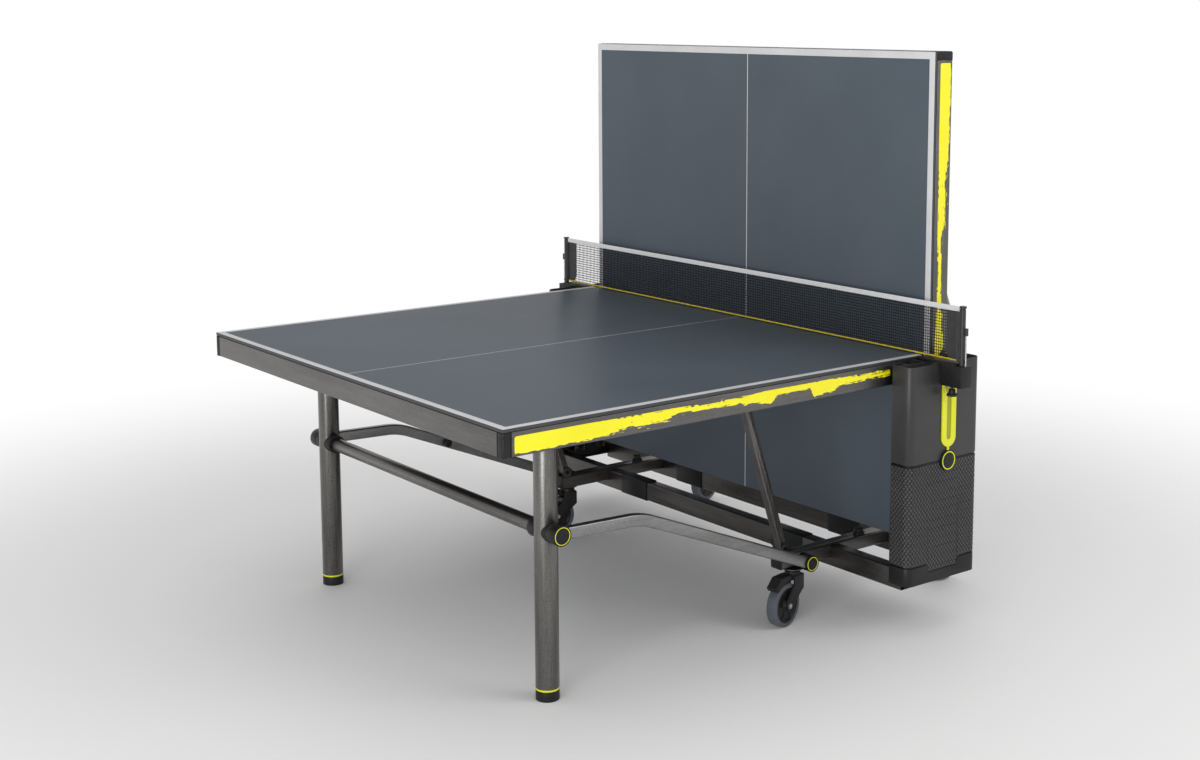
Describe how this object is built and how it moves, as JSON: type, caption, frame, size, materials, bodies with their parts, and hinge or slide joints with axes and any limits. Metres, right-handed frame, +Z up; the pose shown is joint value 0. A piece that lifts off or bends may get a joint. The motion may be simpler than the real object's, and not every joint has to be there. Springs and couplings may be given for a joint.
{
  "type": "folding table tennis table",
  "caption": "Folding table tennis table on a wheeled undercarriage, with one half set for play and the other stood upright, a clamped net, and storage boxes at the sides.",
  "frame": {"origin": "on the floor, at the centre of the footprint", "axes": "+Y along the net, +X from the flat half towards the upright half, +Z up"},
  "size_m": [1.7512, 1.85, 1.583],
  "materials": {
    "playing_surface": "melamine slate grey with pale border lines, satin",
    "raw_steel": "brushed raw steel under clear coat",
    "undercarriage_steel": "dark brushed raw steel under clear coat",
    "black_plastic": "fine-grained black moulded plastic",
    "bin_plastic": "smooth charcoal plastic",
    "textured_bin_plastic": "charcoal plastic with a raised diamond texture",
    "lime_plastic": "bright yellow-green plastic",
    "post_metal": "black powder coat",
    "net_mesh": "knotted black mesh",
    "net_tape": "white woven tape",
    "net_cord": "yellow braided cord",
    "tyre_rubber": "blue-grey rubber tread on a black wheel"
  },
  "bodies": {
    "root": {"base_beams": "undercarriage_steel", "cross_tubes": "undercarriage_steel", "base_hubs": "black_plastic", "guide_columns": "undercarriage_steel", "bin_bases": "black_plastic", "lower_bins": "textured_bin_plastic", "upper_bins": "bin_plastic", "net_posts": "post_metal", "net_brackets": "black_plastic", "net_mesh": "net_mesh", "net_tape": "net_tape", "net_cord": "net_cord", "beam_pads": "black_plastic", "lock_knobs": "black_plastic", "slot_trims": "lime_plastic", "seam_badges": "black_plastic"},
    "net_screw_near": {"clamp_screw_near": "black_plastic"},
    "net_screw_far": {"clamp_screw_far": "black_plastic"},
    "flat_carriage_body": {"flat_carriage": "black_plastic"},
    "flat_half": {"flat_top": "playing_surface", "flat_side_rails": "raw_steel", "flat_end_rail": "raw_steel", "flat_net_rail": "raw_steel", "flat_corner_caps": "black_plastic", "flat_under_frame": "undercarriage_steel"},
    "flat_leg_set": {"flat_legs": "raw_steel", "flat_leg_bar": "raw_steel", "flat_leg_collars": "black_plastic"},
    "flat_strut_set": {"flat_struts": "raw_steel", "flat_strut_hubs": "black_plastic"},
    "flat_brace_set": {"flat_braces": "raw_steel"},
    "flat_foot_near_body": {"flat_foot_near": "black_plastic"},
    "flat_foot_far_body": {"flat_foot_far": "black_plastic"},
    "upright_carriage_body": {"upright_carriage": "black_plastic"},
    "upright_half": {"upright_top": "playing_surface", "upright_side_rails": "raw_steel", "upright_end_rail": "raw_steel", "upright_net_rail": "raw_steel", "upright_corner_caps": "black_plastic", "upright_under_frame": "undercarriage_steel"},
    "upright_leg_set": {"upright_legs": "raw_steel", "upright_leg_bar": "raw_steel", "upright_leg_collars": "black_plastic"},
    "upright_strut_set": {"upright_struts": "raw_steel", "upright_strut_hubs": "black_plastic"},
    "upright_brace_set": {"upright_braces": "raw_steel"},
    "upright_foot_near_body": {"upright_foot_near": "black_plastic"},
    "upright_foot_far_body": {"upright_foot_far": "black_plastic"},
    "caster_1_swivel": {"caster_1_fork": "black_plastic"},
    "caster_1_roller": {"caster_1_wheel": "tyre_rubber"},
    "caster_1_brake": {"caster_1_pedal": "black_plastic"},
    "caster_2_swivel": {"caster_2_fork": "black_plastic"},
    "caster_2_roller": {"caster_2_wheel": "tyre_rubber"},
    "caster_2_brake": {"caster_2_pedal": "black_plastic"},
    "caster_3_swivel": {"caster_3_fork": "black_plastic"},
    "caster_3_roller": {"caster_3_wheel": "tyre_rubber"},
    "caster_3_brake": {"caster_3_pedal": "black_plastic"},
    "caster_4_swivel": {"caster_4_fork": "black_plastic"},
    "caster_4_roller": {"caster_4_wheel": "tyre_rubber"},
    "caster_4_brake": {"caster_4_pedal": "black_plastic"}
  },
  "joints": [
    {"name": "flat_slide", "type": "slide", "parent": "root", "child": "flat_carriage_body", "axis": [0, 0, 1], "range_m": [-0.445, 0]},
    {"name": "flat_tilt", "type": "hinge", "parent": "flat_carriage_body", "child": "flat_half", "pos_m": [0.4324, 0, 0.72], "axis": [0, 1, 0], "range_deg": [0, 90]},
    {"name": "flat_leg_fold", "type": "hinge", "parent": "flat_half", "child": "flat_leg_set", "pos_m": [-0.6226, 0, 0.7], "axis": [0, 1, 0], "range_deg": [-67.99, 0]},
    {"name": "flat_brace_swing", "type": "hinge", "parent": "flat_half", "child": "flat_brace_set", "pos_m": [0.0374, 0, 0.69], "axis": [0, 1, 0], "range_deg": [-47.39, 0]},
    {"name": "flat_strut_swing", "type": "hinge", "parent": "root", "child": "flat_strut_set", "pos_m": [0.2504, 0, 0.173], "axis": [0, 1, 0], "range_deg": [0, 77.35]},
    {"name": "upright_slide", "type": "slide", "parent": "root", "child": "upright_carriage_body", "axis": [0, 0, 1], "range_m": [0, 0.445]},
    {"name": "upright_tilt", "type": "hinge", "parent": "upright_carriage_body", "child": "upright_half", "pos_m": [0.5564, 0, 0.275], "axis": [0, 1, 0], "range_deg": [0, 90]},
    {"name": "upright_leg_fold", "type": "hinge", "parent": "upright_half", "child": "upright_leg_set", "pos_m": [0.5764, 0, 1.33], "axis": [0, 1, 0], "range_deg": [-67.99, 0]},
    {"name": "upright_brace_swing", "type": "hinge", "parent": "upright_half", "child": "upright_brace_set", "pos_m": [0.5864, 0, 0.67], "axis": [0, 1, 0], "range_deg": [-47.39, 0]},
    {"name": "upright_strut_swing", "type": "hinge", "parent": "root", "child": "upright_strut_set", "pos_m": [0.7384, 0, 0.173], "axis": [0, 1, 0], "range_deg": [0, 77.35]},
    {"name": "flat_foot_near_turn", "type": "hinge", "parent": "flat_leg_set", "child": "flat_foot_near_body", "pos_m": [-0.6226, -0.561, 0], "axis": [0, 0, 1], "continuous": true},
    {"name": "upright_foot_near_turn", "type": "hinge", "parent": "upright_leg_set", "child": "upright_foot_near_body", "pos_m": [0.5764, -0.561, 1.33], "axis": [0.3747, 0, -0.9271], "continuous": true},
    {"name": "flat_foot_far_turn", "type": "hinge", "parent": "flat_leg_set", "child": "flat_foot_far_body", "pos_m": [-0.6226, 0.561, 0], "axis": [0, 0, 1], "continuous": true},
    {"name": "upright_foot_far_turn", "type": "hinge", "parent": "upright_leg_set", "child": "upright_foot_far_body", "pos_m": [0.5764, 0.561, 1.33], "axis": [0.3747, 0, -0.9271], "continuous": true},
    {"name": "net_screw_near_turn", "type": "hinge", "parent": "root", "child": "net_screw_near", "pos_m": [0.4844, -0.877, 0.7], "axis": [0, 0, 1], "continuous": true},
    {"name": "net_screw_far_turn", "type": "hinge", "parent": "root", "child": "net_screw_far", "pos_m": [0.4844, 0.877, 0.7], "axis": [0, 0, 1], "continuous": true},
    {"name": "caster_1_swivel_turn", "type": "hinge", "parent": "root", "child": "caster_1_swivel", "pos_m": [0.2204, -0.54, 0.15], "axis": [0, 0, 1], "continuous": true},
    {"name": "caster_1_wheel_spin", "type": "hinge", "parent": "caster_1_swivel", "child": "caster_1_roller", "pos_m": [0.17655, -0.55012, 0.062], "axis": [0.225, -0.9744, 0], "continuous": true},
    {"name": "caster_1_brake_press", "type": "hinge", "parent": "caster_1_swivel", "child": "caster_1_brake", "pos_m": [0.20871, -0.5427, 0.1294], "axis": [0.225, -0.9744, 0], "range_deg": [0, 3.5]},
    {"name": "caster_2_swivel_turn", "type": "hinge", "parent": "root", "child": "caster_2_swivel", "pos_m": [0.2204, 0.54, 0.15], "axis": [0, 0, 1], "continuous": true},
    {"name": "caster_2_wheel_spin", "type": "hinge", "parent": "caster_2_swivel", "child": "caster_2_roller", "pos_m": [0.17655, 0.55012, 0.062], "axis": [-0.225, -0.9744, 0], "continuous": true},
    {"name": "caster_2_brake_press", "type": "hinge", "parent": "caster_2_swivel", "child": "caster_2_brake", "pos_m": [0.20871, 0.5427, 0.1294], "axis": [-0.225, -0.9744, 0], "range_deg": [0, 3.5]},
    {"name": "caster_3_swivel_turn", "type": "hinge", "parent": "root", "child": "caster_3_swivel", "pos_m": [0.7684, 0.54, 0.15], "axis": [0, 0, 1], "continuous": true},
    {"name": "caster_3_wheel_spin", "type": "hinge", "parent": "caster_3_swivel", "child": "caster_3_roller", "pos_m": [0.81225, 0.55012, 0.062], "axis": [-0.225, 0.9744, 0], "continuous": true},
    {"name": "caster_3_brake_press", "type": "hinge", "parent": "caster_3_swivel", "child": "caster_3_brake", "pos_m": [0.78009, 0.5427, 0.1294], "axis": [-0.225, 0.9744, 0], "range_deg": [0, 3.5]},
    {"name": "caster_4_swivel_turn", "type": "hinge", "parent": "root", "child": "caster_4_swivel", "pos_m": [0.7684, -0.54, 0.15], "axis": [0, 0, 1], "continuous": true},
    {"name": "caster_4_wheel_spin", "type": "hinge", "parent": "caster_4_swivel", "child": "caster_4_roller", "pos_m": [0.81225, -0.55012, 0.062], "axis": [0.225, 0.9744, 0], "continuous": true},
    {"name": "caster_4_brake_press", "type": "hinge", "parent": "caster_4_swivel", "child": "caster_4_brake", "pos_m": [0.78009, -0.5427, 0.1294], "axis": [0.225, 0.9744, 0], "range_deg": [0, 3.5]}
  ],
  "couplings": [
    {"joint": "flat_tilt", "follows": "flat_slide", "rad_per_m": -3.5299},
    {"joint": "flat_leg_fold", "follows": "flat_slide", "rad_per_m": 2.6668},
    {"joint": "flat_brace_swing", "follows": "flat_slide", "rad_per_m": 1.8588},
    {"joint": "flat_strut_swing", "follows": "flat_slide", "rad_per_m": -3.0339},
    {"joint": "upright_tilt", "follows": "upright_slide", "rad_per_m": 3.5299},
    {"joint": "upright_leg_fold", "follows": "upright_slide", "rad_per_m": -2.6668},
    {"joint": "upright_brace_swing", "follows": "upright_slide", "rad_per_m": -1.8588},
    {"joint": "upright_strut_swing", "follows": "upright_slide", "rad_per_m": 3.0339}
  ]
}
